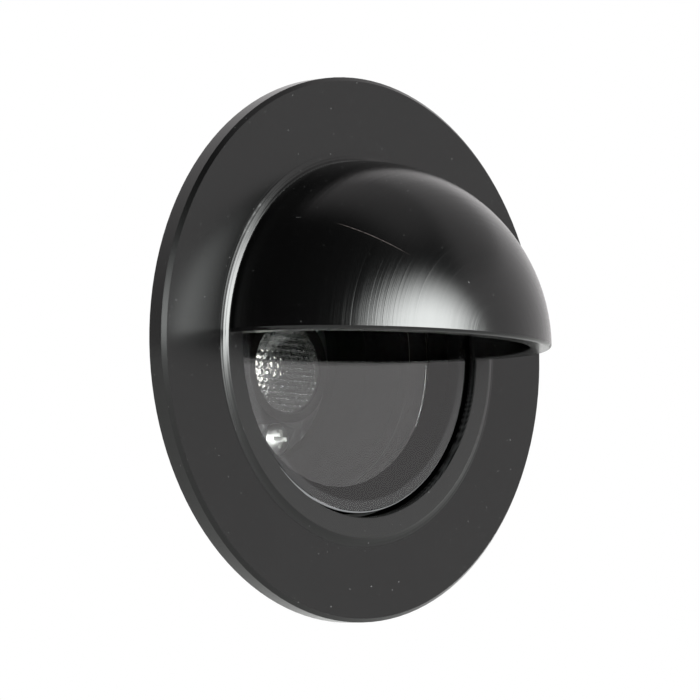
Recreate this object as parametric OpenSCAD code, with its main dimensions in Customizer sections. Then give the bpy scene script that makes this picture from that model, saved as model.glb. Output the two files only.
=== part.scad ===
// Round recessed light with a half-dome hood over its window.
// The light looks along -Y and is let into a wall: Y = 0 is the wall face, +Z is up.
// Depth means the Y coordinate: negative in front of the wall, positive inside it.

/* [Face plate] */
// Diameter of the flange that covers the wall hole
face_d = 100; // [98:1:120]
// Thickness of the flange
flange_t = 3.7; // [3.2:0.1:5]
// Chamfer round the front edge of the flange
flange_chamfer = 0.7; // [0.3:0.1:1.2]
// Height of the milled ring round the window
ring_rise = 0.5; // [0.3:0.05:0.7]
// Width of the concave fillet at the foot of the ring
fillet_w = 1.85; // [1.5:0.05:2.2]
// Wall of the spigot that enters the wall hole
spigot_wall = 5; // [4.8:0.1:6]

/* [Hood] */
// Outer radius of the dome
hood_r = 34.4; // [33:0.1:36]
// Wall thickness of the dome
hood_wall = 4; // [3.4:0.1:4.6]
// Distance of the dome's centre in front of the ring face
hood_forward = 0.25; // [0.2:0.05:1.5]
// Height of the dome's rim above the axis
hood_rim_z = 0.5; // [0:0.1:3]
// Rounding of the rim's outer corner
rim_round = 0.9; // [0.4:0.1:1.4]

/* [Glass] */
// Thickness of the glass
glass_t = 10; // [8:0.5:12]
// Depth of the glass below the ring face
glass_recess = 1.55; // [1:0.05:2]
// Bevel ground round the front of the glass
glass_bevel = 0.5; // [0.3:0.1:0.8]
// Gap between the glass and its bore
glass_gap = 0.7; // [0.4:0.05:1]
// Height of the sealant left in that gap
bead_h = 7; // [4:0.5:7]
// Thickness of the flat gasket under the glass
gasket_t = 0.5; // [0.3:0.1:0.8]
// Width of the ledge that the glass rests on
ledge_w = 5.1; // [4:0.1:6]
// Thickness of that ledge
ledge_t = 1.8; // [1.5:0.1:3]

/* [Housing] */
// Length of the register that enters the spigot
register_l = 3.4; // [3.2:0.1:5]
// Thickness of the shoulder behind the spigot
shoulder_t = 1.8; // [1.4:0.1:2.2]
// Length of the straight body behind the shoulder
body_l = 8.2; // [7.8:0.1:9]
// Length of the body's taper
taper_l = 6.5; // [6:0.1:7]
// Thickness of the floor
floor_t = 2.5; // [2.5:0.1:3.5]
// Height of the fins
fin_h = 2; // [1.4:0.1:2.4]
// Wall left behind the fins
fin_root_wall = 2; // [1.6:0.1:2.4]
// Width of a groove between two fins
fin_gap = 1.1; // [0.8:0.1:1.3]
// Distance from fin to fin
fin_pitch = 2.2; // [2:0.1:2.6]
// Number of grooves
fin_count = 5; // [3:1:5]

/* [Light engine] */
// How far the light source sits below the axis
led_drop = 2.5; // [0:0.1:3]
// Thickness of the circuit board
board_t = 1; // [0.8:0.1:1.6]
// Thickness of the heat pad behind the board
pad_t = 0.3; // [0.2:0.1:0.5]
// Radius of the lens face
lens_face_r = 8.5; // [7.5:0.1:9]
// Height of the lens
lens_h = 7; // [6.5:0.1:7.4]
// Wall of the lens holder
holder_wall = 0.6; // [0.5:0.1:1]

/* [Cable gland] */
// Bore of the gland seal, which grips the cable
seal_bore_d = 5.6; // [4.5:0.1:5.8]
// Diameter of the gland's thread
gland_thread_d = 8; // [7.6:0.1:8.4]
// Size of the gland's hexagons across the flats
gland_af = 12; // [11:0.5:12.5]

/* [Spring clips] */
// Distance of the hinge pin behind the shoulder
pin_gap = 4.2; // [4:0.1:4.8]
// Distance of the hinge pin inside the shoulder's edge
pin_inset = 5.1; // [4.8:0.1:5.4]
// Radius of the hinge pin
pin_r = 1.25; // [1:0.05:1.4]
// Length of the clip arm from its pin
arm_l = 18; // [16:0.5:18.5]
// Thickness of the clip's sheet metal
sheet_t = 1; // [0.8:0.1:1.1]
// Lean of the arm towards the flange when it is released, in degrees
arm_lean = 45; // [40:1:47]
// Radius of the spring wire
wire_r = 0.35; // [0.3:0.05:0.4]
// Full turns of the spring coil
coil_turns = 4; // [2:1:4]
// Advance of the coil for each turn
coil_pitch = 1.45; // [1.3:0.05:1.6]

/* [Hidden] */
$fn = 128;

// Clearances
snug = 0.02;           // gap at a seat that is pressed or glued
slip = 0.2;            // gap at a register that slides in
beyond = 5;            // how far a cutting body runs past what it cuts
thread_relief = 0.1;   // gap round a screw in its tapped hole
through_relief = 0.15; // gap round a screw in its clearance hole

// Ring and dome
ring_face = -(flange_t + ring_rise);
ring_r = hood_r + 0.1;
fillet_r = (fillet_w * fillet_w + ring_rise * ring_rise) / (2 * ring_rise);
hood_centre = ring_face - hood_forward;
rim_round_in = 0.4;
rim_proud = 0.04; // how far a rim rounding's circle reaches past the two faces it joins

// Glass, from the dome's inside radius
glass_inset = 0.3;
glass_r = hood_r - hood_wall - glass_inset;
bore_r = glass_r + glass_gap;
bore_chamfer = 0.2;
glass_front = ring_face + glass_recess;
glass_back = glass_front + glass_t;
seat_depth = glass_back + gasket_t;
aperture_r = glass_r - ledge_w;
gasket_lip = 0.3;
ledge_depth = seat_depth + ledge_t;

// Spigot and wall gasket
register_lap = 5.8; // how far the register reaches outside the aperture
register_r = aperture_r + register_lap;
register_start = ledge_depth + slip;
register_bore_r = register_r + slip;
spigot_r = register_bore_r + spigot_wall;
spigot_l = register_start + register_l;
groove_w = 4;
groove_r = (spigot_r + face_d / 2 - groove_w) / 2;
groove_depth = 1.2;

// Spring clips
shoulder_r = spigot_r - 0.5;
shoulder_end = spigot_l + shoulder_t;
shoulder_chamfer = 1;
pin_depth = shoulder_end + pin_gap;
pin_z = shoulder_r - pin_inset;
coil_gap = 0.8;
coil_r = pin_r + coil_gap + wire_r;
bracket_t = 1.2;
base_gap = 0.05;
clip_flat_z = pin_z - coil_r - wire_r - base_gap - bracket_t;
rings_per_turn = 8;
wire_sides = 6;
coil_start_angle = 90;
coil_end_angle = 90 - arm_lean - 360 * coil_turns;
coil_sweep = coil_start_angle - coil_end_angle;
coil_steps = round(coil_sweep / 360 * rings_per_turn);
coil_w = coil_sweep / 360 * coil_pitch;
spring_side_gap = 0.85;
arm_w = coil_w + 2 * (wire_r + spring_side_gap + sheet_t);
ear_gap = 0.2;
ear_in = arm_w / 2 + ear_gap;
ear_t = 1;
ear_out = ear_in + ear_t;
ear_r = pin_r + 1.35;
bracket_front = shoulder_end + 0.6;
bracket_back = pin_depth + coil_r + 1.7;
pin_fixed_gap = 0.05;
pin_running_gap = 0.1;
pin_head_r = pin_r + 0.75;
pin_head_t = 0.8;
pin_end = 0.2;
clip_screw_r = 1.25;
clip_screw_head_r = 2.2;
clip_screw_l = 2.8;
clip_socket_r = 1.1;
clip_socket_depth = 0.6;
cheek_r = pin_r + 1.25;
web_back = coil_r - wire_r - snug;
web_front = web_back - sheet_t;
web_start = coil_r + wire_r + 0.65;
cheek_l = 9.5;
cheek_top = web_back + 0.97;
tip_r = sheet_t * 0.9;
heel_y = 1.2; // how far in front of the pin the heel meets the bracket's base
heel_h = pin_z - clip_flat_z - bracket_t - snug;
heel = [heel_y * sin(arm_lean) - heel_h * cos(arm_lean), -heel_y * cos(arm_lean) - heel_h * sin(arm_lean)];
leg_hole_r = wire_r + 0.4;
leg_drop = coil_r + wire_r + bracket_t + 0.7;
leg_l = 8;

// Light engine, laid out from the lens outwards
lens_rim_r = lens_face_r + 1.1;
lens_rim_t = 1.5;
lens_foot_r = 3;
lens_well_r = 2;
lens_well_h = 3.4;
lens_lift = 1.2;
holder_gap = 0.1;
holder_lip = 0.6;
holder_r = lens_rim_r + holder_gap + holder_wall;
led_base_w = 3.5;
led_base_h = 0.9;
led_dome_r = 1.4;
board_screw_r = 1.1;
board_screw_head_r = 2.9;
board_screw_head_h = 1.8;
board_screw_bite = 1.8;
board_screw_angles = [-70, 30, 150];
board_screw_pcr = led_drop + holder_r + 0.5 + board_screw_head_r;
board_r = board_screw_pcr + board_screw_head_r + 0.3;
pocket_r = board_r + slip;
gland_thread_r = gland_thread_d / 2;
gland_z = holder_r - led_drop + gland_thread_r + slip;
wire_hole_r = 2.6;
chip_w = 4.4;
chip_h = 3.8;
chip_t = 1.4;
cap_w = 1.6;
cap_h = 1.2;
cap_t = 1;
cap_pitch = 2.6;
cap_x = -(wire_hole_r + cap_w / 2 + 0.7);
chip_x = cap_x - cap_w / 2 - 0.7 - chip_w / 2;
resistor_w = 2;
resistor_t = 0.5;
resistor_pitch = 2.4;
block_w = 6.4;
block_l = 5.2;
block_h = 4;
block_x = wire_hole_r + 1.8 + block_w / 2;
block_wire_r = 1.15;
block_screw_r = 1.05;
block_screw_h = 2;

// Housing
body_r = clip_flat_z + 1.1;
body_end = shoulder_end + body_l;
floor_depth = body_end + taper_l;
back_depth = floor_depth + floor_t;
chamber_wall_r = body_r - fin_h - fin_root_wall;
chamber_end = body_end - 1;
pocket_start = floor_depth - 3.5;
floor_wall = 1.4;
rim_bore_gap = 1; // how much wider than the aperture the housing opens
rim_bore_r = aperture_r + rim_bore_gap;
fin_start = shoulder_end + 1.4;
o_ring_r = 0.65;
o_ring_depth = spigot_l - 1.3;
o_ring_groove_w = 1.6;
o_ring_groove_r = register_bore_r - 2 * o_ring_r - slip;
plate_screw_r = 1.25;
plate_screw_pcr = spigot_r - 2.8;
plate_screw_head_r = 2.3;
plate_screw_head_h = 1.6;
plate_screw_bite = 4;
plate_screw_angles = [0, 120, 240];
board_front = floor_depth - pad_t - board_t;
lens_depth = board_front - lens_lift - lens_h;

// Cable gland
gland_bore_r = gland_thread_r - 1;
gland_washer_t = 1;
gland_hex_t = 3;
gland_neck_l = 5.5;
gland_neck_r = gland_thread_r + 0.7;
seal_r = gland_neck_r - 0.9;
seal_step = 0.5;
gland_nut_l = 7;
nut_taper = 1.6;
gland_hex_front = back_depth + gland_washer_t;
gland_neck_front = gland_hex_front + gland_hex_t;
gland_neck_end = gland_neck_front + gland_neck_l;
seal_front = gland_neck_front + seal_step;
nut_front = gland_neck_front + 0.5;
nut_end = nut_front + gland_nut_l;

// Points of the spring wire: an inner leg, the coil, then a leg that lies on the arm.
// The turn angle is measured from +Z towards +Y about the hinge pin.
function coil_point(i) = let (a = coil_start_angle - coil_sweep * i / coil_steps)
    [-coil_w / 2 + coil_w * i / coil_steps, pin_depth + coil_r * sin(a), pin_z + coil_r * cos(a)];
arm_dir = [0, -sin(arm_lean), cos(arm_lean)];
coil_pts = [for (i = [0 : coil_steps]) coil_point(i)];
spring_path = concat(
    [coil_pts[0] + [0, 0, -leg_drop], coil_pts[0] + [0, 0, -leg_drop / 2]],
    coil_pts,
    [coil_pts[coil_steps] + arm_dir * leg_l / 2, coil_pts[coil_steps] + arm_dir * leg_l]
);
// Least gap between one turn of the coil and the next, wire surface to wire surface
coil_gaps = [for (i = [0 : coil_steps], j = [i + 5 : 1 : coil_steps])
    norm(coil_pts[i] - coil_pts[j]) - 2 * wire_r];
echo(spring_least_gap = min(coil_gaps));

function unit(v) = v / norm(v);
// Heading of the path at point i, the mean of its two neighbours
function heading(p, i) = unit(p[min(i + 1, len(p) - 1)] - p[max(i - 1, 0)]);
// A ring of points about point i; the first side always lies towards the X axis
function wire_ring(p, i, r, sides) =
    let (t = heading(p, i), a = unit([1, 0, 0] - t * t[0]), b = cross(t, a))
    [for (k = [0 : sides - 1]) p[i] + r * (a * cos(360 * k / sides) + b * sin(360 * k / sides))];

// A round tube along a list of points, closed at both ends
module tube(p, r, sides) {
    n = len(p);
    points = [for (i = [0 : n - 1]) each wire_ring(p, i, r, sides)];
    walls = [for (i = [0 : n - 2], k = [0 : sides - 1])
        let (a = i * sides + k, b = i * sides + (k + 1) % sides)
        each [[a, b, a + sides], [b, b + sides, a + sides]]];
    first_cap = [for (k = [1 : sides - 2]) [0, k + 1, k]];
    last = (n - 1) * sides;
    last_cap = [for (k = [1 : sides - 2]) [last, last + k, last + k + 1]];
    polyhedron([for (q = points) q], concat(
        [for (f = walls) [f[0], f[2], f[1]]],
        [for (f = first_cap) [f[0], f[2], f[1]]],
        [for (f = last_cap) [f[0], f[2], f[1]]]));
}

// Turns a profile of radius and depth about the light's axis
module turned() {
    rotate([-90, 0, 0])
        rotate_extrude()
            children();
}

// A disc or cylinder that lies along the depth axis, from depth a to depth b
module along(r, a, b) {
    translate([0, a, 0])
        rotate([-90, 0, 0])
            cylinder(r = r, h = b - a);
}

// A flat ring between two radii and two depths
module washer(r_in, r_out, a, b) {
    turned()
        translate([r_in, a])
            square([r_out - r_in, b - a]);
}

// Places a child at an angle on a circle about the axis
module on_circle(r, angle) {
    translate([r * cos(angle), 0, r * sin(angle)])
        children();
}

// Repeats a clip piece for the clip under the light
module below() {
    rotate([0, 180, 0])
        children();
}

// Flange, milled ring and spigot, less the concave fillet round the ring
module face_profile() {
    difference() {
        polygon([
            [0, spigot_l], [0, ring_face], [ring_r + fillet_w, ring_face], [ring_r + fillet_w, -flange_t],
            [face_d / 2 - flange_chamfer, -flange_t], [face_d / 2, -(flange_t - flange_chamfer)],
            [face_d / 2, 0], [groove_r + groove_w, 0], [groove_r + groove_w, -groove_depth],
            [groove_r, -groove_depth], [groove_r, 0], [spigot_r, 0], [spigot_r, spigot_l]
        ]);
        translate([ring_r + fillet_w, -flange_t - fillet_r - snug])
            circle(r = fillet_r);
        polygon([
            [-beyond, ring_face - beyond], [bore_r + bore_chamfer + beyond, ring_face - beyond],
            [bore_r, ring_face + bore_chamfer], [bore_r, seat_depth], [aperture_r, seat_depth],
            [aperture_r, ledge_depth], [register_bore_r, ledge_depth],
            [register_bore_r, spigot_l + beyond], [-beyond, spigot_l + beyond]
        ]);
    }
}

// The dome is a solid of revolution about the vertical line through its centre
module dome_profile() {
    difference() {
        intersection() {
            difference() {
                circle(r = hood_r);
                circle(r = hood_r - hood_wall);
            }
            translate([0, hood_rim_z])
                square(hood_r + beyond);
        }
        rim_corner(hood_r, rim_round, 1);
        rim_corner(hood_r - hood_wall, rim_round_in, -1);
    }
}

// What rounding takes off a corner of the rim: side is 1 outside and -1 inside
module rim_corner(r, round_r, side) {
    h = hood_rim_z + round_r - rim_proud;
    c = sqrt(pow(r - side * (round_r - rim_proud), 2) - h * h);
    difference() {
        translate([side > 0 ? c : 0, 0])
            square([side > 0 ? beyond : c, h]);
        translate([c, h])
            circle(r = round_r);
    }
}

// Turned from one piece of aluminium: flange, milled ring, dome and spigot
module face_plate() {
    color("#2b2b2d") {
        difference() {
            union() {
                turned() face_profile();
                translate([0, hood_centre, 0])
                    intersection() {
                        rotate_extrude() dome_profile();
                        translate([-face_d / 2, -face_d, 0])
                            cube([face_d, face_d + hood_forward, face_d / 2]);
                    }
            }
            for (a = plate_screw_angles)
                on_circle(plate_screw_pcr, a)
                    along(plate_screw_r + thread_relief, spigot_l - plate_screw_bite, spigot_l + beyond);
        }
    }
}

module glass() {
    color("#d7e2e0", 0.35)
        turned()
            polygon([
                [0, glass_front], [glass_r - glass_bevel, glass_front],
                [glass_r, glass_front + glass_bevel], [glass_r, glass_back], [0, glass_back]
            ]);
}

module glass_gasket() {
    color("#1a1a1a")
        washer(aperture_r + gasket_lip, glass_r, glass_back, seat_depth);
}

module glass_sealant() {
    color("#0c0c0c")
        washer(glass_r + snug, bore_r - snug, seat_depth - bead_h, seat_depth);
}

module wall_gasket() {
    color("#161616")
        washer(groove_r + slip / 2, groove_r + groove_w - slip / 2, -groove_depth, 0);
}

// Register, shoulder and body outside, less the chamber and the board's pocket
module housing_profile() {
    difference() {
        polygon([
            [0, register_start], [register_r, register_start], [register_r, spigot_l],
            [shoulder_r - shoulder_chamfer / 2, spigot_l], [shoulder_r, spigot_l + shoulder_chamfer / 2],
            [shoulder_r, shoulder_end - shoulder_chamfer], [shoulder_r - shoulder_chamfer, shoulder_end],
            [body_r, shoulder_end], [body_r, body_end], [pocket_r + floor_wall, floor_depth],
            [pocket_r + floor_wall - floor_t, back_depth], [0, back_depth]
        ]);
        polygon([
            [-beyond, register_start - beyond], [rim_bore_r, register_start - beyond], [rim_bore_r, spigot_l],
            [chamber_wall_r, spigot_l], [chamber_wall_r, chamber_end], [pocket_r, pocket_start],
            [pocket_r, floor_depth], [-beyond, floor_depth]
        ]);
        translate([o_ring_groove_r, o_ring_depth - o_ring_groove_w / 2])
            square([body_r, o_ring_groove_w]);
        for (i = [0 : fin_count - 1])
            fin_groove(fin_start + i * fin_pitch);
    }
}

// Radius of the chamber's inside at a depth, where the fins' roots follow it
function chamber_r(depth) = depth < chamber_end ? chamber_wall_r
    : max(pocket_r, chamber_wall_r - (depth - chamber_end) * (chamber_wall_r - pocket_r) / (pocket_start - chamber_end));

module fin_groove(depth) {
    root = chamber_r(depth) + fin_root_wall;
    translate([root, depth])
        square([body_r, fin_gap]);
}

// Turned from one piece of aluminium: register, shoulder, fins and floor
module housing() {
    color("#2f2f31") {
        difference() {
            turned() housing_profile();
            for (a = plate_screw_angles)
                on_circle(plate_screw_pcr, a)
                    along(plate_screw_r + through_relief, spigot_l - beyond, shoulder_end + beyond);
            translate([0, 0, gland_z])
                along(gland_thread_r + thread_relief, floor_depth - beyond, back_depth + beyond);
            for (a = board_screw_angles)
                on_circle(board_screw_pcr, a)
                    along(board_screw_r + thread_relief, floor_depth - beyond, floor_depth + board_screw_bite);
            clip_seat();
            below() clip_seat();
        }
    }
}

// Flat, tapped hole and spring-leg hole that one clip needs in the housing
module clip_seat() {
    translate([-ear_out - slip, shoulder_end, clip_flat_z])
        cube([2 * (ear_out + slip), back_depth, body_r]);
    translate([0, pin_depth, clip_flat_z - clip_screw_l + bracket_t])
        cylinder(r = clip_screw_r + thread_relief, h = beyond);
    translate([-coil_w / 2, pin_depth + coil_r, pin_z - leg_drop - slip])
        cylinder(r = leg_hole_r, h = beyond);
}

module housing_o_ring() {
    color("#101010")
        turned()
            translate([register_bore_r - o_ring_r - snug, o_ring_depth])
                circle(r = o_ring_r);
}

// A pan-head screw with a cross-shaped slot, its head towards +Y from depth 0
module pan_screw(r, head_r, head_h, shank) {
    difference() {
        union() {
            along(r, -shank, 0.2);
            intersection() {
                along(head_r, 0, head_h);
                translate([0, head_h - head_r * 1.6, 0])
                    sphere(r = head_r * 1.6);
            }
        }
        for (turn = [0, 90])
            rotate([0, turn, 0])
                translate([-head_r * 0.6, head_h * 0.45, -head_r * 0.14])
                    cube([head_r * 1.2, head_h, head_r * 0.28]);
    }
}

module housing_screws() {
    color("#b9bbbd")
        for (a = plate_screw_angles)
            on_circle(plate_screw_pcr, a)
                translate([0, shoulder_end, 0])
                    pan_screw(plate_screw_r, plate_screw_head_r, plate_screw_head_h,
                        shoulder_t + plate_screw_bite - slip);
}

module lens() {
    color("#e8eef0", 0.35)
        translate([0, 0, -led_drop])
            turned()
                difference() {
                    union() {
                        translate([0, lens_depth])
                            square([lens_rim_r, lens_rim_t]);
                        polygon([
                            [0, lens_depth + lens_rim_t], [lens_face_r * 0.96, lens_depth + lens_rim_t],
                            [lens_face_r * 0.84, lens_depth + lens_h * 0.45],
                            [lens_face_r * 0.62, lens_depth + lens_h * 0.78],
                            [lens_foot_r, lens_depth + lens_h], [0, lens_depth + lens_h]
                        ]);
                    }
                    translate([0, lens_depth + lens_h - lens_well_h])
                        square([lens_well_r, beyond]);
                }
}

module lens_holder() {
    color("#111111")
        translate([0, 0, -led_drop])
            turned()
                difference() {
                    translate([0, lens_depth - holder_lip])
                        square([holder_r, board_front - lens_depth + holder_lip]);
                    square([lens_face_r + holder_gap, board_front + beyond]);
                    translate([0, lens_depth])
                        square([lens_rim_r + holder_gap, board_front]);
                }
}

module led_base() {
    color("#e9e6dc")
        translate([-led_base_w / 2, board_front - led_base_h, -led_drop - led_base_w / 2])
            cube([led_base_w, led_base_h, led_base_w]);
}

module led_dome() {
    color("#e8d36a")
        intersection() {
            translate([0, board_front - led_base_h, -led_drop])
                sphere(r = led_dome_r);
            translate([-led_base_w, board_front - led_base_h - led_base_w, -led_drop - led_base_w])
                cube([2 * led_base_w, led_base_w, 2 * led_base_w]);
        }
}

module circuit_board() {
    color("#e6e6e0")
        difference() {
            along(board_r, board_front, board_front + board_t);
            translate([0, 0, gland_z])
                along(wire_hole_r, board_front - beyond, floor_depth);
            for (a = board_screw_angles)
                on_circle(board_screw_pcr, a)
                    along(board_screw_r + through_relief, board_front - beyond, floor_depth);
        }
}

// Current regulator, two capacitors and four resistors, as separate solids
module board_chips() {
    color("#1d1d1f") {
        translate([chip_x, board_front - chip_t, gland_z - cap_pitch / 2])
            chip(chip_w, chip_t, chip_h);
        for (i = [0, 1])
            translate([cap_x, board_front - cap_t, gland_z - cap_pitch / 2 + cap_pitch * i])
                chip(cap_w, cap_t, cap_h);
        for (i = [0 : 3])
            translate([board_r - 5, board_front - resistor_t, -led_drop + resistor_pitch * (i - 2)])
                chip(resistor_w, resistor_t, cap_h);
    }
}

// A chip of the given width, thickness and height, centred on its footprint
module chip(w, t, h) {
    translate([-w / 2, 0, -h / 2])
        cube([w, t, h]);
}

module terminal_block() {
    color("#f0f0ec")
        translate([block_x, board_front - block_h, gland_z])
            difference() {
                chip(block_w, block_h, block_l);
                for (side = [-1, 1]) {
                    translate([side * block_w / 4, 0, 0])
                        along(block_wire_r, -beyond, block_h / 2);
                    translate([side * block_w / 4, block_h / 2, 0])
                        cylinder(r = block_wire_r - slip, h = block_l);
                }
            }
}

module terminal_screws() {
    color("#c9b06a")
        for (side = [-1, 1])
            translate([block_x + side * block_w / 4, board_front - block_h, gland_z])
                along(block_screw_r, block_h / 2 - block_screw_h + slip, block_h / 2 - snug);
}

module heat_pad() {
    color("#9aa4ad")
        translate([0, 0, -led_drop])
            along(holder_r, board_front + board_t, floor_depth);
}

module board_screws() {
    color("#c8cacc")
        for (a = board_screw_angles)
            on_circle(board_screw_pcr, a)
                translate([0, board_front, 0])
                    rotate([180, 0, 0])
                        pan_screw(board_screw_r, board_screw_head_r, board_screw_head_h,
                            board_t + pad_t + board_screw_bite - slip);
}

// A hexagonal prism along the depth axis, given its size across the flats
module hexagon(af, a, b) {
    translate([0, a, 0])
        rotate([-90, 0, 0])
            cylinder(r = af / sqrt(3), h = b - a, $fn = 6);
}

module gland_washer() {
    color("#141414")
        translate([0, 0, gland_z])
            washer(gland_thread_r + thread_relief, gland_af / 2, back_depth, gland_hex_front);
}

module gland_body() {
    color("#26282b")
        translate([0, 0, gland_z])
            difference() {
                union() {
                    along(gland_thread_r, floor_depth + slip, gland_neck_front);
                    hexagon(gland_af, gland_hex_front, gland_neck_front);
                    along(gland_neck_r, gland_neck_front, gland_neck_end);
                }
                along(gland_bore_r, floor_depth - beyond, gland_neck_end + beyond);
                along(seal_r + snug, seal_front, gland_neck_end + beyond);
            }
}

module gland_seal() {
    color("#101010")
        translate([0, 0, gland_z])
            washer(seal_bore_d / 2, seal_r, seal_front, gland_neck_end);
}

module gland_nut() {
    color("#26282b")
        translate([0, 0, gland_z])
            difference() {
                union() {
                    hexagon(gland_af, nut_front, nut_end - nut_taper);
                    along(gland_af / 2 - slip, nut_front, nut_end);
                }
                along(gland_neck_r + thread_relief, nut_front - beyond, gland_neck_end + snug);
                along(gland_bore_r + slip, nut_front, nut_end + beyond);
            }
}

// Folded from sheet: a base on the housing's flat and two ears for the pin
module clip_bracket() {
    color("#a9adb1")
        difference() {
            union() {
                translate([-ear_out, bracket_front, clip_flat_z])
                    cube([2 * ear_out, bracket_back - bracket_front, bracket_t]);
                for (x = [-ear_out, ear_in])
                    translate([x, 0, 0])
                        ear();
            }
            translate([0, pin_depth, clip_flat_z - beyond])
                cylinder(r = clip_screw_r + through_relief, h = 2 * beyond);
            translate([0, pin_depth, clip_flat_z])
                cylinder(r1 = clip_screw_r + through_relief,
                    r2 = clip_screw_head_r + through_relief, h = bracket_t + snug);
            translate([-coil_w / 2, pin_depth + coil_r, clip_flat_z - beyond])
                cylinder(r = leg_hole_r, h = 2 * beyond);
        }
}

// One ear of the bracket, from its foot up round the pin
module ear() {
    difference() {
        union() {
            translate([0, pin_depth - ear_r, clip_flat_z])
                cube([ear_t, 2 * ear_r, pin_z - clip_flat_z]);
            translate([0, pin_depth, pin_z])
                rotate([0, 90, 0])
                    cylinder(r = ear_r, h = ear_t);
        }
        translate([-ear_t, pin_depth, pin_z])
            rotate([0, 90, 0])
                cylinder(r = pin_r + pin_fixed_gap, h = 3 * ear_t);
    }
}

// Countersunk screw, flush with the bracket's base under the spring
module clip_screw() {
    color("#c3c5c8")
        difference() {
            union() {
                translate([0, pin_depth, clip_flat_z + bracket_t - clip_screw_l])
                    cylinder(r = clip_screw_r, h = clip_screw_l);
                translate([0, pin_depth, clip_flat_z + snug])
                    cylinder(r1 = clip_screw_r, r2 = clip_screw_head_r, h = bracket_t - snug);
            }
            translate([0, pin_depth, clip_flat_z + bracket_t - clip_socket_depth])
                cylinder(r = clip_socket_r, h = beyond, $fn = 6);
        }
}

// Pin with a head at one end and a flattened rivet at the other
module clip_pin() {
    color("#c9ccd0")
        translate([-ear_out - pin_end, pin_depth, pin_z])
            rotate([0, 90, 0]) {
                cylinder(r = pin_r, h = 2 * (ear_out + pin_end));
                translate([0, 0, -pin_head_t])
                    cylinder(r = pin_head_r, h = pin_head_t);
                translate([0, 0, 2 * (ear_out + pin_end)])
                    cylinder(r = (pin_r + pin_head_r) / 2, h = pin_head_t / 2);
            }
}

module clip_spring() {
    color("#d6d8da")
        tube(spring_path, wire_r, wire_sides);
}

// Places a drawing of the arm: its x runs along the arm and its y towards the spring
module on_arm() {
    translate([0, pin_depth, pin_z])
        rotate([arm_lean, 0, 0])
            rotate([0, -90, 0])
                children();
}

// Pressed steel arm: two cheeks on the pin, a web and a rolled tip
module clip_arm() {
    color("#b4b8bc")
        on_arm()
            difference() {
                union() {
                    translate([web_start, web_front, -arm_w / 2])
                        cube([arm_l - web_start, sheet_t, arm_w]);
                    translate([arm_l, (web_front + web_back) / 2, -arm_w / 2])
                        cylinder(r = tip_r, h = arm_w);
                    for (z = [-arm_w / 2, arm_w / 2 - sheet_t])
                        translate([0, 0, z])
                            cheek();
                }
                translate([0, 0, -arm_w])
                    cylinder(r = pin_r + pin_running_gap, h = 2 * arm_w);
            }
}

// One side of the arm: a heel that stops on the bracket, the pin's eye and a stiffening fold
module cheek() {
    linear_extrude(sheet_t)
        union() {
            circle(r = cheek_r);
            polygon([[-0.88 * cheek_r, -0.4 * cheek_r], heel, [0.4 * cheek_r, -0.88 * cheek_r]]);
            polygon([
                [0.4 * cheek_r, -0.84 * cheek_r], [web_start + slip, web_front - slip], [cheek_l, web_front],
                [cheek_l, web_back + 0.3], [cheek_l - 2, cheek_top], [0.8 * cheek_r, cheek_top],
                [-0.48 * cheek_r, 0.8 * cheek_r]
            ]);
        }
}

face_plate();
glass();
glass_gasket();
glass_sealant();
wall_gasket();
housing();
housing_o_ring();
housing_screws();
lens();
lens_holder();
led_base();
led_dome();
circuit_board();
board_chips();
terminal_block();
terminal_screws();
heat_pad();
board_screws();
gland_washer();
gland_body();
gland_seal();
gland_nut();
clip_bracket();  // clip_bracket_top
below() clip_bracket();  // clip_bracket_bottom
clip_screw();  // clip_screw_top
below() clip_screw();  // clip_screw_bottom
clip_pin();  // clip_pin_top
below() clip_pin();  // clip_pin_bottom
clip_spring();  // clip_spring_top
below() clip_spring();  // clip_spring_bottom
clip_arm();  // clip_arm_top
below() clip_arm();  // clip_arm_bottom
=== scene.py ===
import math

import bmesh
import bpy
from mathutils import Matrix, Vector


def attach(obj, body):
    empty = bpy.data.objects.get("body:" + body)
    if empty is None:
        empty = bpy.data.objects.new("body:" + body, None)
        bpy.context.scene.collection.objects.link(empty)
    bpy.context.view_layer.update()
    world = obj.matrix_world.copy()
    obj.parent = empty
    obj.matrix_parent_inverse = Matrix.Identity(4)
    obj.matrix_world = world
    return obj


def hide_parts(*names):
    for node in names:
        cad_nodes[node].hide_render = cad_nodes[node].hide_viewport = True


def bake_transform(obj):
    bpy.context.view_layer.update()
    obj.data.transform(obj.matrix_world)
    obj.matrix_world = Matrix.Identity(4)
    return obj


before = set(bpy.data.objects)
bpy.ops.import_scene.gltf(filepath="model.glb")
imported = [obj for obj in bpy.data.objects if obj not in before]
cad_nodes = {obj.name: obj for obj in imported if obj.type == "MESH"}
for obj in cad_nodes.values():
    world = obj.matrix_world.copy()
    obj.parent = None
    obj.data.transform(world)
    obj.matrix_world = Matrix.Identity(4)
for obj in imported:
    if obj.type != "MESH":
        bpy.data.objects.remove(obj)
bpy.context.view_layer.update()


# The view. The light is seen from its left, a little from below, with a long lens and next to no
# perspective, and it stands free in the frame: the floor lies below what this camera takes in.
view_turn = math.radians(46.07)
view_tilt = math.radians(-5.05)
view_roll = math.radians(0.94)
view_distance = 0.8545
view_target = Vector((0.001, 0.0, 0.0001))
view_lens = 239.0
view_sensor = 36.0
view_near, view_far = 0.01, 50.0

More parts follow.
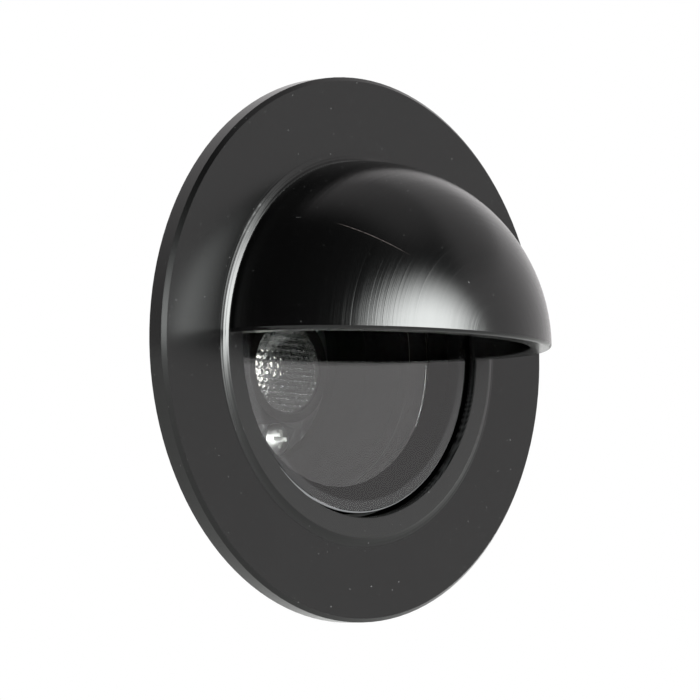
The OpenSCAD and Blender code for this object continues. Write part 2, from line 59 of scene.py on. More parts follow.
towards_camera = Vector((
    -math.sin(view_turn) * math.cos(view_tilt),
    -math.cos(view_turn) * math.cos(view_tilt),
    math.sin(view_tilt),
))
level_right = (-towards_camera).cross(Vector((0, 0, 1))).normalized()
level_up = level_right.cross(-towards_camera)
frame_right = level_right * math.cos(view_roll) + level_up * math.sin(view_roll)
frame_up = level_up * math.cos(view_roll) - level_right * math.sin(view_roll)
camera_data = bpy.data.cameras.new("view_camera")
camera_data.lens = view_lens
camera_data.sensor_width = view_sensor
camera_data.clip_start = view_near
camera_data.clip_end = view_far
camera = bpy.data.objects.new("view_camera", camera_data)
camera.matrix_world = Matrix.Translation(view_target + towards_camera * view_distance) @ Matrix((
    frame_right, frame_up, towards_camera
)).transposed().to_4x4()
bpy.context.scene.collection.objects.link(camera)
bpy.context.scene.camera = camera
bpy.context.scene.view_settings.view_transform = "Standard"


# The studio. A large softbox stands in front and shines faintly off the table below it. A white wall lies to
# the right and behind, and the camera's side is dark, which draws the black side of the dome. All of it is
# one glow of the surroundings. What the camera itself sees past the light is plain white.
softbox_power = 31.0
softbox_turn = math.radians(-9)
softbox_half_width = math.radians(33)
softbox_foot = math.radians(1)
softbox_height = math.radians(30)
softbox_fade = 0.45, 1.45
softbox_white = (0.97, 1.0, 0.985, 1.0)
table_edge = math.radians(-2), math.radians(3)
table_end = math.radians(-26), math.radians(-8)
table_gloss = 0.2
wall_white = (1.0, 0.975, 0.98, 1.0)
wall_right = 1.05
wall_right_high = 0.7
wall_right_edge = 0.2, 0.5
wall_right_top = 0.5, 0.6
wall_behind = 1.0
wall_behind_edge = 0.35, 0.6
wall_behind_lean = 0.3
overhead = 0.5
overhead_foot = 0.75, 0.95
overhead_edge = -0.35, 0.1
dark_side = 0.015
backdrop = (1, 1, 1, 1)


class Wire:
    """The output of a node. Python's operators on it add Math nodes, and node() adds any other node."""

    def __init__(self, tree, output=None):
        self.tree = tree
        self.output = output

    def node(self, kind, settings=None, inputs=None, out=0):
        """Adds a node: its settings first, then the values or wires of its inputs. out names its output."""
        made = self.tree.nodes.new(kind)
        for name, value in (settings or {}).items():
            setattr(made, name, value)
        for name, value in (inputs or {}).items():
            if isinstance(value, Wire):
                self.tree.links.new(value.output, made.inputs[name])
            else:
                made.inputs[name].default_value = value
        if isinstance(out, tuple):
            return [Wire(self.tree, made.outputs[k]) for k in out]
        return Wire(self.tree, made.outputs[out] if len(made.outputs) else None)

    def math(self, operation, a, b=0.0):
        return self.node("ShaderNodeMath", {"operation": operation}, {0: a, 1: b})

    def __add__(self, other):
        return self.math("ADD", self, other)

    def __sub__(self, other):
        return self.math("SUBTRACT", self, other)

    def __rsub__(self, other):
        return self.math("SUBTRACT", other, self)

    def __mul__(self, other):
        return self.math("MULTIPLY", self, other)

    def __truediv__(self, other):
        return self.math("DIVIDE", self, other)

    def __pow__(self, other):
        return self.math("POWER", self, other)

    __radd__ = __add__
    __rmul__ = __mul__

    def least(self, other):
        return self.math("MINIMUM", self, other)

    def most(self, other):
        return self.math("MAXIMUM", self, other)

    def ramp(self, low, high, from_value=0.0, to_value=1.0):
        """A smooth step from one value to the other while this one goes from low to high."""
        return self.node(
            "ShaderNodeMapRange", {"interpolation_type": "SMOOTHSTEP"},
            {"Value": self, "From Min": low, "From Max": high, "To Min": from_value, "To Max": to_value},
        )

    def past(self, edge, blur=0.0001):
        """1 past an edge and 0 before it. The step is as wide as the blur and starts at the edge."""
        return self.ramp(edge, edge + blur)

    def within(self, edge, blur=0.0001):
        """1 up to an edge and 0 past it. The step is as wide as the blur and starts at the edge."""
        return self.ramp(edge, edge + blur, 1.0, 0.0)


def split(point):
    """How far a point lies along X, Y and Z."""
    return point.node("ShaderNodeSeparateXYZ", None, {0: point}, (0, 1, 2))


def blend_colour(factor, first, second):
    """The first colour where the factor is 0, the second where it is 1."""
    return factor.node("ShaderNodeMix", {"data_type": "RGBA"}, {0: factor, 6: first, 7: second}, 2)


world = bpy.data.worlds.new("studio")
world.use_nodes = True
bpy.context.scene.world = world
world.node_tree.nodes.clear()
studio = Wire(world.node_tree)
direction = studio.node("ShaderNodeTexCoord", out=0)
across, depth, height = split(direction)
glow_right = across.ramp(*wall_right_edge) * height.ramp(*wall_right_top, wall_right, wall_right_high)
glow_behind = (depth + across * wall_behind_lean).ramp(*wall_behind_edge, 0.0, wall_behind)
glow_above = height.ramp(*overhead_foot) * across.ramp(*overhead_edge) * overhead
glow = glow_right.most(glow_behind).most(glow_above.most(dark_side))
turned_off = (studio.math("ARCTAN2", across, depth * -1.0) - softbox_turn) / softbox_half_width
lift = studio.math("ARCSINE", height) - softbox_foot
lifted_off = lift / softbox_height
off_centre = (turned_off * turned_off + lifted_off * lifted_off) ** 0.5
on_table = lift.ramp(*table_edge, table_gloss, 1.0) * lift.ramp(*table_end)
softbox = off_centre.ramp(*softbox_fade, 1.0, 0.0) * on_table * softbox_power
colour = blend_colour(studio.math("GREATER_THAN", softbox, glow), wall_white, softbox_white)
reflected = studio.node("ShaderNodeBackground", None, {"Color": colour, "Strength": glow.most(softbox)})
seen = studio.node("ShaderNodeBackground", None, {"Color": backdrop})
is_seen = studio.node("ShaderNodeLightPath")
studio.node("ShaderNodeOutputWorld", None, {
    "Surface": studio.node("ShaderNodeMixShader", None, {0: is_seen, 1: reflected, 2: seen}),
})


# Floor: a plain pale sheet on the ground, matt, with a faint cloudiness. It lies below what the camera takes
# in and only sends some light back up.
floor_level = -0.13
floor_half = 4
floor_shades = (0.80, 0.80, 0.79, 1), (0.84, 0.84, 0.83, 1)
floor_cloud_scale = 40.0
floor_roughness = 0.8
floor_corners = (-1, -1), (1, -1), (1, 1), (-1, 1)
floor_mesh = bpy.data.meshes.new("floor")
floor_points = [(a * floor_half, b * floor_half, floor_level) for a, b in floor_corners]
floor_mesh.from_pydata(floor_points, [], [(0, 1, 2, 3)])
floor = bpy.data.objects.new("floor", floor_mesh)
bpy.context.scene.collection.objects.link(floor)
floor_paint = bpy.data.materials.new("pale_floor")
floor_paint.use_nodes = True
floor_paint.node_tree.nodes.clear()
ground = Wire(floor_paint.node_tree)
ground_cloud = ground.node("ShaderNodeTexNoise", None, {
    "Vector": ground.node("ShaderNodeTexCoord", out=3), "Scale": floor_cloud_scale, "Detail": 4.0,
})
ground_surface = ground.node("ShaderNodeBsdfPrincipled", None, {
    "Base Color": blend_colour(ground_cloud, *floor_shades), "Roughness": floor_roughness,
})
ground.node("ShaderNodeOutputMaterial", None, {"Surface": ground_surface})
floor_mesh.materials.append(floor_paint)


# Face plate: flange, ring, dome and spigot, turned from one bar of aluminium, the lower half of the dome
# milled off, then anodised black. The lathe leaves fine rings round the axis, the mill leaves slanted marks
# on the ring's face, and handling leaves a scratch and some dust.
face_black = (0.0003, 0.0003, 0.0003, 1.0)
face_worn = (0.012, 0.012, 0.0125, 1.0)
face_milled = (0.07, 0.07, 0.07, 1.0)
face_dust = (0.06, 0.06, 0.06, 1.0)
scratch_bare = (0.05, 0.042, 0.040, 1.0)
unlit_black = (0.0003, 0.0003, 0.0003, 1.0)
ring_face_y = -0.0042
bore_y = -0.0027
bore_r = 0.0308
bore_blur = 0.0002
ring_r = 0.0345
fillet_foot_r = 0.03635
fillet_blur, fillet_foot_blur = 0.0002, 0.0003
dome_foot_y = -0.0052
dome_foot_blend = 0.0006
dome_centre = Vector((0.0, -0.00445, 0.0))
face_margin = 0.0002
band_pitch, band_height = 0.0017, 0.000018
line_pitch, line_height = 0.00028, 0.000012
hair_pitch, hair_height = 0.00012, 0.000004
marks_off_dome = 0.06
sand_tone, line_tone, hatch_tone, ring_tone = 0.06, 0.03, 0.09, 0.05
face_rough = 0.185
dome_smoother, fillet_smoother = 0.045, 0.02
cloud_rough, band_rough, sand_rough, worn_rough = 0.03, 0.05, 0.03, 0.2
groove_pitch, groove_height = 0.00058, 0.000007
hatch_pitch, hatch_height = 0.00034, 0.0000012
hatch_slant = 0.8, -0.6
sand_size, sand_height = 0.00022, 0.0000011
cloud_size = 0.012
dust_size = 0.0005
dust_cover = 0.78, 0.81
scratch_start = Vector((-0.02373, -0.01912, 0.02012))
scratch_end = Vector((-0.01583, -0.0318, 0.0136))
scratch_width = 0.00002, 0.00009
scratch_start_fade, scratch_end_fade = 0.25, 0.4
scratch_gap_size = 0.0008
scratch_gaps = 0.3, 0.6
scratch_faintest = 0.3


def coated(name, **constants):
    """A new material with its numbers set on the shader's own sockets, its wires and its shader."""
    material = bpy.data.materials.new(name)
    material.use_nodes = True
    material.node_tree.nodes.clear()
    wires = Wire(material.node_tree)
    shader = material.node_tree.nodes.new("ShaderNodeBsdfPrincipled")
    for socket, value in constants.items():
        shader.inputs[socket.replace("_", " ")].default_value = value
    wires.node("ShaderNodeOutputMaterial", None, {"Surface": Wire(material.node_tree, shader.outputs[0])})
    return material, wires, shader


def feed(shader, socket, wire):
    """Links a wire to a socket of the material's shader."""
    wire.tree.links.new(wire.output, shader.inputs[socket])


def overlaid(shader, factor, other):
    """Shows another shader in place of this one where the factor is 1."""
    surface = shader.outputs[0].links[0].to_socket
    first = Wire(other.tree, shader.outputs[0])
    mixed = other.node("ShaderNodeMixShader", None, {0: factor, 1: first, 2: other})
    mixed.tree.links.new(mixed.output, surface)


def dull_black(wires):
    """A black that sends nothing back, for black print, and for painted shade where a part lies deep in the
    shade.
    """
    return wires.node("ShaderNodeBsdfPrincipled", None, {
        "Base Color": unlit_black, "Roughness": 0.9, "Specular IOR Level": 0.0,
    })


def along(point, vector):
    """How far a point lies along a vector."""
    return point.node("ShaderNodeVectorMath", {"operation": "DOT_PRODUCT"}, {0: point, 1: tuple(vector)}, 1)


def raised(height):
    """The normal of a surface whose relief is given in metres."""
    return height.node("ShaderNodeBump", None, {"Strength": 1.0, "Distance": 1.0, "Height": height})


def point_on(wires):
    """The point on the piece, in metres."""
    return wires.node("ShaderNodeTexCoord", out=3)


def lathe_rings(travel, pitch, detail):
    """Marks that follow one another at about this pitch along the tool's travel, from 0 to 1."""
    return travel.node("ShaderNodeTexNoise", {"noise_dimensions": "1D"}, {
        "W": travel, "Scale": 1.0 / pitch, "Detail": detail, "Roughness": 0.6,
    })


def grain(point, size, detail):
    """A cloudy noise with lumps of about this size, from 0 to 1."""
    return point.node("ShaderNodeTexNoise", None, {
        "Vector": point, "Scale": 1.0 / size, "Detail": detail, "Roughness": 0.6,
    })


def wear(*nodes, material):
    """Gives a material to solids that are carried over as they are."""
    for name in nodes:
        cad_nodes[name].data.materials[0] = material


face_finish, face, face_shader = coated("black_anodised_face", Specular_IOR_Level=0.34)
point = point_on(face)
x, y, z = split(point)
radius = (x * x + z * z) ** 0.5
travel = radius + y
on_dome = y.within(dome_foot_y, dome_foot_blend)
on_fillet = radius.past(ring_r, fillet_blur) * radius.within(fillet_foot_r, fillet_foot_blur)
on_ring = radius.within(ring_r) * y.past(ring_face_y - face_margin)
bore_painted_shade = y.past(bore_y) * radius.within(bore_r + face_margin, bore_blur)
bands = lathe_rings(travel, band_pitch, 1.0)
lines = lathe_rings(travel, line_pitch, 1.0)
hair = lathe_rings(travel, hair_pitch, 0.0)
turning = (bands * band_height + lines * line_height + hair * hair_height) * (on_dome + marks_off_dome)
grooves = face.math("SINE", (radius - ring_r) * (2 * math.pi / groove_pitch)) * on_fillet
slanted = x * hatch_slant[0] + z * hatch_slant[1]
hatch = face.math("SINE", slanted * (2 * math.pi / hatch_pitch)) * on_ring
cloud = grain(point, cloud_size, 3.0)
sand = grain(point, sand_size, 1.0)
dust = grain(point, dust_size, 1.0).ramp(*dust_cover)
scratch_run = scratch_end - scratch_start
scratch_plane = (scratch_start - dome_centre).cross(scratch_end - dome_centre).normalized()
off_scratch = face.math("ABSOLUTE", along(point, scratch_plane) - scratch_plane.dot(dome_centre))
run = (along(point, scratch_run) - scratch_run.dot(scratch_start)) / scratch_run.length_squared
scratch_ends = run.past(0.0, scratch_start_fade) * run.within(1.0 - scratch_end_fade, scratch_end_fade)
scratch_gap = grain(point, scratch_gap_size, 3.0).ramp(*scratch_gaps, scratch_faintest, 1.0)
scratch = off_scratch.ramp(*scratch_width, 1.0, 0.0) * scratch_ends * on_dome * scratch_gap
tone = blend_colour(sand * sand_tone + lines * on_dome * line_tone, face_black, face_worn)
tone = blend_colour(hatch * hatch_tone + on_ring * ring_tone, tone, face_milled)
tone = blend_colour(dust, tone, face_dust)
feed(face_shader, "Base Color", blend_colour(scratch, tone, scratch_bare))
feed(face_shader, "Roughness", (
    face_rough - on_dome * dome_smoother - on_fillet * fillet_smoother + cloud * cloud_rough
    + bands * on_dome * band_rough + sand * sand_rough + (dust + scratch) * worn_rough
))
relief = turning + grooves * groove_height + sand * sand_height + hatch * hatch_height
feed(face_shader, "Normal", raised(relief))
# Inside the bore and on the ledge behind it, the face is painted a black that sends nothing back: painted
# shade.
overlaid(face_shader, bore_painted_shade, dull_black(face))
wear("face_plate", material=face_finish)


# Window glass: a ground disc of float glass, bedded on a rubber ring and sealed in its bore. Its flat faces
# are polished, its bevel is ground, and a black border is printed round its back and edge. A film of the
# sealant, wiped off the front, is left near its rim.
glass_clear = (0.985, 0.995, 0.99, 1.0)
glass_ground = (0.13, 0.13, 0.135, 1.0)
sealant_film = (0.16, 0.16, 0.165, 1.0)
glass_front_y, glass_back_y = -0.00265, 0.00735
glass_r = 0.03
glass_edge_r = 0.02965
glass_bevel = 0.0005
glass_margin = 0.0001
rim_rough, bevel_rough = 0.5, 0.4
border_r = 0.025
border_blur = 0.00008
film_r = 0.0276
film_blur = 0.0004
film_cover = 0.05
glass_finish, pane, pane_shader = coated(
    "window_glass", Base_Color=glass_clear, Transmission_Weight=1.0, IOR=1.52
)
x, y, z = split(point_on(pane))
radius = (x * x + z * z) ** 0.5
past_edge = radius.past(glass_edge_r)
on_side = radius.past(glass_r - glass_margin)
printed = (radius.past(border_r, border_blur) * y.past(glass_back_y - face_margin)).most(on_side)
on_bevel = past_edge * y.within(glass_front_y + glass_bevel)
filmed = radius.past(film_r, film_blur) * y.within(glass_front_y + glass_margin)
feed(pane_shader, "Roughness", past_edge * rim_rough)
overlaid(pane_shader, printed, dull_black(pane))
overlaid(pane_shader, on_bevel, pane.node("ShaderNodeBsdfPrincipled", None, {
    "Base Color": glass_ground, "Roughness": bevel_rough,
}))
overlaid(pane_shader, filmed * film_cover, pane.node("ShaderNodeBsdfDiffuse", None, {"Color": sealant_film}))
wear("glass", material=glass_finish)


# Seals: a flat ring under the glass, the wall ring, the O-ring and the two rubbers of the gland, all cut or
# moulded from black rubber, and the black sealant that was run into the gap round the glass. The flat ring's
# inner edge lies in deep shade under the glass, and the rubber at the flat ring's depth is painted a black
# that sends nothing back: painted shade.
gasket_front_y, gasket_back_y = 0.0072, 0.008


def texture(wires, shader, cloud, dark, light, fine=None, rough=None, relief=None):
    """Lets a surface drift between two shades in clouds. cloud and fine are each a grain's (size, detail).
    The fine grain roughens the surface, rough being (least, spread), and lifts it by a relief in metres."""
    point = point_on(wires)
    feed(shader, "Base Color", blend_colour(grain(point, *cloud), dark, light))
    if fine:
        fine_grain = grain(point, *fine)
    if rough:
        feed(shader, "Roughness", rough[0] + fine_grain * rough[1])
    if relief:
        feed(shader, "Normal", raised(fine_grain * relief))


def textured(name, cloud, dark, light, fine=None, rough=None, relief=None, **constants):
    """A new material with that texture and with its numbers set on the shader's own sockets."""
    material, wires, shader = coated(name, **constants)
    texture(wires, shader, cloud, dark, light, fine, rough, relief)
    return material


rubber_finish, rubber, rubber_shader = coated("black_rubber")
texture(rubber, rubber_shader, (0.004, 3.0), (0.010, 0.010, 0.010, 1), (0.018, 0.018, 0.018, 1),
        fine=(0.0004, 3.0), rough=(0.55, 0.2), relief=0.00002)
x, y, z = split(point_on(rubber))
# Rubber between gasket_front_y and gasket_back_y, where the flat ring lies, is painted black: painted shade.
overlaid(rubber_shader, y.past(gasket_front_y) * y.within(gasket_back_y), dull_black(rubber))
wear("glass_gasket", "wall_gasket", "housing_o_ring", "gland_washer", "gland_seal", material=rubber_finish)
sealant_finish = textured(
    "black_sealant", (0.003, 3.0), (0.004, 0.004, 0.004, 1), (0.008, 0.008, 0.008, 1),
    fine=(0.002, 3.0), relief=0.0002, Roughness=0.35,
)
wear("glass_sealant", material=sealant_finish)


# Housing: a turned aluminium cup with cooling fins, screwed to the back of the face plate. It is anodised
# black like the face but left as it came off the tool. Its inside lies in deep shade and is painted a black
# that sends nothing back: painted shade.
cup_shades = (0.010, 0.010, 0.0105, 1), (0.016, 0.016, 0.017, 1)
cup_mark_pitch, cup_mark_height = 0.0004, 0.000006
cup_cloud_size = 0.01
cup_rough, cup_rough_spread = 0.34, 0.12
cup_r = 0.0262
cup_front_y, cup_floor_y = 0.009, 0.02985
cup_steps = (0.0132, 0.0025), (0.0262, 0.0036)
cup_step_blur, cup_front_blur, cup_floor_blur = 0.0002, 0.0005, 0.00015
housing_finish, cup, cup_shader = coated("black_anodised_housing")
point = point_on(cup)
x, y, z = split(point)
radius = (x * x + z * z) ** 0.5
cup_marks = lathe_rings(radius - y, cup_mark_pitch, 2.0)
cup_cloud = grain(point, cup_cloud_size, 3.0)
feed(cup_shader, "Base Color", blend_colour(cup_cloud, *cup_shades))
feed(cup_shader, "Roughness", cup_rough + cup_cloud * cup_rough_spread)
feed(cup_shader, "Normal", raised(cup_marks * cup_mark_height))
# The inside of the cup, which narrows in steps, is painted a black that sends nothing back: painted shade.
stepped_r = radius
for step_y, narrower in cup_steps:
    stepped_r = stepped_r + y.past(step_y, cup_step_blur) * narrower
cup_painted_shade = stepped_r.within(cup_r) * y.past(cup_front_y, cup_front_blur) * y.within(cup_floor_y, cup_floor_blur)
overlaid(cup_shader, cup_painted_shade, dull_black(cup))
wear("housing", material=housing_finish)


# Lens: one clear moulding that gathers the light. Its face is covered with small pebbles that even the beam
# out, packed like honeycomb, and its back is a cone with a well over the light source.
lens_clear = (0.99, 0.99, 0.985, 1.0)
lens_haze_white = (0.7, 0.72, 0.72, 1.0)
lens_haze = 0.03
lens_cloud_size = 0.003
lens_rough, lens_rough_spread = 0.03, 0.05
lens_axis_z = -0.0025
lens_front = 0.02025
lens_segments = 240
pebbled_r = 0.0085
pebbled_rings = 40
pebble_pitch = 0.00135
pebble_height = 0.0003
pebble_corner = 0.3333
pebble_fade = 0.0003
face_slack = 0.00001
lens_crease = 28
cone_depth = 0.0016
cone_blur = 0.0002
cone_painted_shade = 0.85
cone_painted_shade_blur = 0.003
lens_back = (
    (0.0096, 0.0), (0.0096, 0.0015), (0.00816, 0.0015), (0.00765, 0.0024), (0.00714, 0.00315),
    (0.0063, 0.0044), (0.00527, 0.00546), (0.0042, 0.0063), (0.003, 0.007), (0.002, 0.007), (0.002, 0.0044),
    (0.0017, 0.0039), (0.0009, 0.00365), (0.0, 0.0036),
)


def turned(name, profile, segments, axis_z):
    """A solid of revolution about a line along Y. profile is (radius, depth) pairs from radius 0 to 0."""
    made = bmesh.new()
    turns = [2 * math.pi * k / segments for k in range(segments)]
    rows = []
    for r, depth in profile:
        points = [(r * math.cos(turn), depth, axis_z + r * math.sin(turn)) for turn in turns]
        rows.append([made.verts.new(point) for point in (points if r > 0 else points[:1])])
    for first, second in zip(rows, rows[1:]):
        for k in range(segments):
            after = (k + 1) % segments
            if len(first) == 1:
                made.faces.new((first[0], second[after], second[k]))
            elif len(second) == 1:
                made.faces.new((first[k], first[after], second[0]))
            else:
                made.faces.new((first[k], first[after], second[after], second[k]))
    bmesh.ops.recalc_face_normals(made, faces=made.faces)
    mesh = bpy.data.meshes.new(name)
    made.to_mesh(mesh)
    made.free()
    piece = bpy.data.objects.new(name, mesh)
    bpy.context.scene.collection.objects.link(piece)
    return piece


def shaped(piece, build, **sizes):
    """Runs a Geometry Nodes tree on a piece and makes the result its mesh. sizes are the tree's inputs."""
    tree = bpy.data.node_groups.new(piece.name + "_nodes", "GeometryNodeTree")
    tree.interface.new_socket("Geometry", in_out="INPUT", socket_type="NodeSocketGeometry")
    named = {}
    for name, value in sizes.items():
        kind = "NodeSocketInt" if isinstance(value, int) else "NodeSocketFloat"
        named[name] = tree.interface.new_socket(name, in_out="INPUT", socket_type=kind)
    tree.interface.new_socket("Geometry", in_out="OUTPUT", socket_type="NodeSocketGeometry")
    inputs = tree.nodes.new("NodeGroupInput")
    wires = {name: Wire(tree, inputs.outputs[k]) for k, name in enumerate(["Geometry", *sizes])}
    Wire(tree).node("NodeGroupOutput", None, {0: build(Wire(tree), wires)})
    modifier = piece.modifiers.new("shape", "NODES")
    modifier.node_group = tree
    for name, value in sizes.items():
        modifier[named[name].identifier] = value
    bpy.context.view_layer.update()
    result = bpy.data.meshes.new_from_object(piece.evaluated_get(bpy.context.evaluated_depsgraph_get()))
    piece.modifiers.clear()
    piece.data = result
    result.name = piece.name


def finished(tree, geometry, material):
    """The end of a Geometry Nodes tree: real geometry that wears its material."""
    real = tree.node("GeometryNodeRealizeInstances", None, {0: geometry})
    return tree.node("GeometryNodeSetMaterial", None, {0: real, "Material": material})


def smooth_below(piece, degrees):
    """Smooth shading, with a crease where two faces meet at more than this angle."""
    piece.data.shade_smooth()
    piece.data.set_sharp_from_angle(angle=math.radians(degrees))


lens_finish, clear, clear_shader = coated(
    "clear_lens", Base_Color=lens_clear, Transmission_Weight=1.0, IOR=1.49
)
point = point_on(clear)
x, y, z = split(point)
on_cone = y.past(lens_front + cone_depth, cone_blur)
feed(clear_shader, "Roughness", grain(point, lens_cloud_size, 3.0) * lens_rough_spread + lens_rough)
overlaid(clear_shader, lens_haze, clear.node("ShaderNodeBsdfDiffuse", None, {"Color": lens_haze_white}))
# On the +X half of its back cone the clear lens is painted most of the way to a black that sends nothing
# back: painted shade.
overlaid(clear_shader, on_cone * x.past(0.0, cone_painted_shade_blur) * cone_painted_shade, dull_black(clear))


def pebbles(tree, given):
    """Moves the face's points forward in the pattern of packed round pebbles. The corners where three pebbles
    meet stay back. Their squared distance from a pebble's centre is a third of the squared pitch."""
    px, py, pz = split(tree.node("GeometryNodeInputPosition"))
    pz = pz - lens_axis_z
    pitch = given["Pebble pitch"]
    tall = pitch * math.sqrt(3)

    def to_centre(shift):
        """The squared distance to the nearest centre of one of the two grids that make the honeycomb."""
        dx = tree.math("FLOORED_MODULO", px + pitch * (0.5 + shift), pitch) - pitch * 0.5
        dz = tree.math("FLOORED_MODULO", pz + tall * (0.5 + shift), tall) - tall * 0.5
        return dx * dx + dz * dz

    nearest = to_centre(0.0).least(to_centre(0.5))
    bulge = 1 - nearest / (pitch * pitch * pebble_corner)
    inside = ((px * px + pz * pz) ** 0.5).within(pebbled_r - pebble_fade, pebble_fade)
    on_face = tree.math("LESS_THAN", py, lens_front + face_slack)
    forward = bulge * given["Pebble height"] * inside * on_face * -1.0
    shift = tree.node("ShaderNodeCombineXYZ", None, {1: forward})
    moved = tree.node("GeometryNodeSetPosition", None, {"Geometry": given["Geometry"], "Offset": shift})
    return finished(tree, moved, lens_finish)


lens_profile = [(pebbled_r * k / pebbled_rings, lens_front) for k in range(pebbled_rings + 1)]
lens_profile += [(r, lens_front + depth) for r, depth in lens_back]
lens = turned("pebbled_lens", lens_profile, lens_segments, lens_axis_z)
shaped(lens, pebbles, **{"Pebble pitch": pebble_pitch, "Pebble height": pebble_height})
smooth_below(lens, lens_crease)
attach(lens, "light")
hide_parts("lens")


# Black plastics: the gland and its nut, and the holder that carries the lens, moulded from nylon with a fine
# even texture. The holder's black is darker and duller than the gland's: painted shade, so that it stays dark
# round the lens.
nylon_finish = textured(
    "black_nylon", (0.006, 3.0), (0.009, 0.009, 0.009, 1), (0.015, 0.015, 0.015, 1),
    fine=(0.00025, 2.0), rough=(0.4, 0.15), relief=0.000012,
)
wear("gland_body", "gland_nut", material=nylon_finish)
holder_painted_shade_finish = textured(
    "lens_holder_painted_shade_nylon", (0.002, 3.0), (0.001, 0.001, 0.001, 1), (0.002, 0.002, 0.002, 1),
    fine=(0.00025, 2.0), relief=0.00001, Roughness=0.7, Specular_IOR_Level=0.08,
)
wear("lens_holder", material=holder_painted_shade_finish)


# Light source: a white ceramic base with a drop of pale silicone over the chip, soldered to the board. It is
# off. Both glow faintly, which stands for the daylight that the lens gathers on them.
ceramic_finish = textured(
    "white_ceramic", (0.0005, 3.0), (0.75, 0.74, 0.70, 1), (0.82, 0.81, 0.78, 1),
    Roughness=0.35, Emission_Color=(1.0, 1.0, 1.0, 1.0), Emission_Strength=0.5,
)
wear("led_base", material=ceramic_finish)
silicone_finish = textured(
    "yellow_silicone", (0.0006, 3.0), (0.72, 0.66, 0.44, 1), (0.78, 0.72, 0.50, 1),
    Roughness=0.15, Subsurface_Weight=0.3, Subsurface_Radius=(0.001, 0.0006, 0.0002),
    Emission_Color=(1.0, 0.99, 0.93, 1.0), Emission_Strength=1.6,
)
wear("led_dome", material=silicone_finish)


# Circuit board: a metal core under black lacquer, which the copper traces lift a little, with its regulator,
# capacitors and resistors soldered on.
trace_scale = 320.0
trace_edge = 0.04, 0.09
trace_height = 0.00003
board_shades = (0.006, 0.007, 0.007, 1), (0.011, 0.012, 0.012, 1)
board_finish, board, board_shader = coated("board_lacquer", Roughness=0.3)
cells = board.node("ShaderNodeTexVoronoi", {"feature": "DISTANCE_TO_EDGE"}, {
    "Vector": point_on(board), "Scale": trace_scale,
})
trace = cells.ramp(*trace_edge)
feed(board_shader, "Base Color", blend_colour(trace, *board_shades))
feed(board_shader, "Normal", raised(trace * trace_height))
wear("circuit_board", material=board_finish)
chip_finish = textured(
    "chip_resin", (0.0001, 1.0), (0.012, 0.012, 0.013, 1), (0.022, 0.022, 0.023, 1),
    fine=(0.0001, 1.0), rough=(0.45, 0.2),
)
wear("board_chips", material=chip_finish)


# Terminal block of off-white plastic for the cable's two leads, with its brass screws, and the soft grey pad
# that carries heat from the board to the housing's floor.
terminal_finish = textured(
    "terminal_plastic", (0.003, 3.0), (0.60, 0.60, 0.57, 1), (0.66, 0.66, 0.63, 1),
    fine=(0.0003, 3.0), relief=0.00001, Roughness=0.4,
)
wear("terminal_block", material=terminal_finish)
brass_finish = textured(
    "terminal_brass", (0.001, 3.0), (0.62, 0.44, 0.17, 1), (0.75, 0.56, 0.25, 1),
    fine=(0.0004, 3.0), rough=(0.25, 0.2), Metallic=1.0,
)
wear("terminal_screws", material=brass_finish)
pad_finish = textured(
    "grey_heat_pad", (0.0003, 3.0), (0.22, 0.23, 0.25, 1), (0.33, 0.34, 0.36, 1), Roughness=0.8
)
wear("heat_pad", material=pad_finish)


# Screws and pins: stainless steel. Three pan heads hold the housing to the face plate from behind, three hold
# the board to the housing's floor, and each clip has a countersunk screw and a headed hinge pin.
steel_finish = textured(
    "stainless_steel", (0.0015, 3.0), (0.50, 0.50, 0.49, 1), (0.62, 0.62, 0.61, 1),
    fine=(0.0015, 3.0), rough=(0.3, 0.15), Metallic=1.0,
)
wear("housing_screws", "board_screws", "clip_screw_top", "clip_screw_bottom", material=steel_finish)
wear("clip_pin_top", "clip_pin_bottom", material=steel_finish)


# Clips: bracket and arm, cut and bent from stainless sheet, with the grain of rolling along their width. The
# brackets are screwed to flats on the housing and the arms swing on the pins.
rolled_stretch = 0.06
rolled_size, rolled_height = 0.00012, 0.000003
rolled_rough, rolled_rough_spread = 0.28, 0.14
clip_shades = (0.42, 0.42, 0.41, 1), (0.52, 0.52, 0.51, 1)
clip_finish, clip, clip_shader = coated("clip_sheet_steel", Metallic=1.0)
point = point_on(clip)
x, y, z = split(point)
stretched = clip.node("ShaderNodeCombineXYZ", None, {0: x * rolled_stretch, 1: y, 2: z})
rolled = grain(stretched, rolled_size, 2.0)
feed(clip_shader, "Base Color", blend_colour(rolled, *clip_shades))
feed(clip_shader, "Roughness", rolled_rough + rolled * rolled_rough_spread)
feed(clip_shader, "Normal", raised(rolled * rolled_height))
wear("clip_bracket_top", "clip_bracket_bottom", "clip_arm_top", "clip_arm_bottom", material=clip_finish)


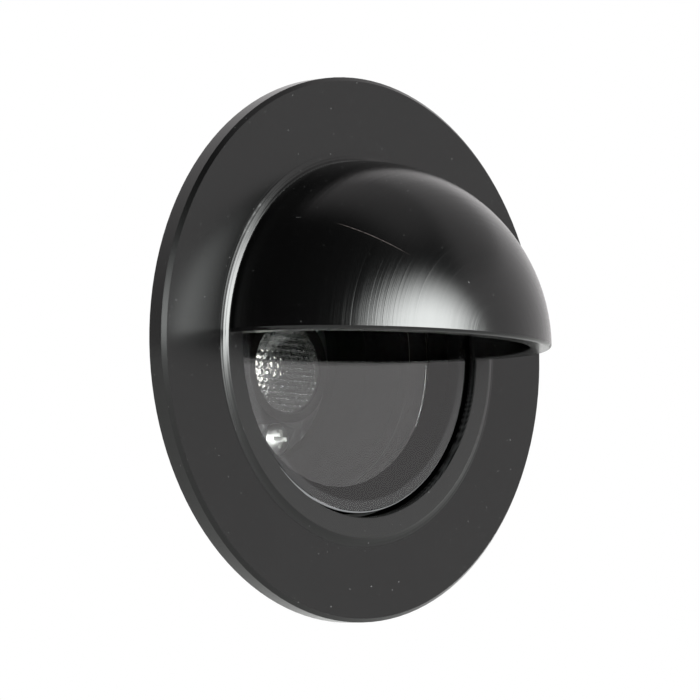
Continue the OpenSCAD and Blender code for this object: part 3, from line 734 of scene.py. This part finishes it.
# Springs: hard-drawn steel wire wound round each pin, with one leg in the housing's flat and the other on the
# arm, which it pushes towards the wall.
wire_r = 0.00035
wire_sides = 14
coil_r = 0.0024
coil_width = 0.005981
coil_sweep = math.radians(1485)
coil_points, leg_points = 132, 8
coil_y, coil_z = 0.01925, 0.0304
inner_leg = 0.00465
outer_leg = 0.008
arm_lean = math.radians(45)
spring_crease = 50
wire_finish = textured(
    "spring_wire", (0.0006, 3.0), (0.36, 0.36, 0.36, 1), (0.50, 0.50, 0.49, 1),
    fine=(0.0006, 3.0), rough=(0.18, 0.15), Metallic=1.0,
)


def wound(tree, given):
    """A wire along a coil about X, with a straight leg before it and another after it."""
    turns_points = given["Coil points"]
    steps = tree.node("GeometryNodeInputIndex")
    on_coil = tree.node("ShaderNodeClamp", None, {0: (steps - leg_points) / turns_points})
    angle = math.pi / 2 - on_coil * given["Sweep"]
    before = ((leg_points - steps) / leg_points).most(0.0)
    after = ((steps - leg_points - turns_points) / leg_points).most(0.0)
    px = (on_coil - 0.5) * given["Width"]
    py = given["Coil radius"] * tree.math("SINE", angle) - after * given["Outer leg"] * math.sin(arm_lean)
    pz = given["Coil radius"] * tree.math("COSINE", angle) - before * given["Inner leg"]
    pz = pz + after * given["Outer leg"] * math.cos(arm_lean)
    line = tree.node("GeometryNodeMeshLine", None, {"Count": turns_points + 2 * leg_points + 1})
    place = tree.node("ShaderNodeCombineXYZ", None, {0: px, 1: py + coil_y, 2: pz + coil_z})
    path = tree.node("GeometryNodeSetPosition", None, {"Geometry": line, "Position": place})
    section = tree.node("GeometryNodeCurvePrimitiveCircle", None, {
        "Resolution": wire_sides, "Radius": given["Wire radius"],
    })
    centre_line = tree.node("GeometryNodeMeshToCurve", None, {0: path})
    drawn = tree.node("GeometryNodeCurveToMesh", None, {
        "Curve": centre_line, "Profile Curve": section, "Fill Caps": True,
    })
    return finished(tree, drawn, wire_finish)


for side, sign in (("top", 1), ("bottom", -1)):
    spring = bpy.data.objects.new("wound_spring_" + side, bpy.data.meshes.new("wound_spring_" + side))
    bpy.context.scene.collection.objects.link(spring)
    shaped(spring, wound, **{
        "Coil points": coil_points, "Sweep": coil_sweep, "Width": coil_width, "Coil radius": coil_r,
        "Wire radius": wire_r, "Inner leg": inner_leg, "Outer leg": outer_leg,
    })
    if side == "bottom":
        spring.data.transform(Matrix.Rotation(math.pi, 4, "Y"))
    smooth_below(spring, spring_crease)
    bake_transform(spring)
    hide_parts("clip_spring_" + side)
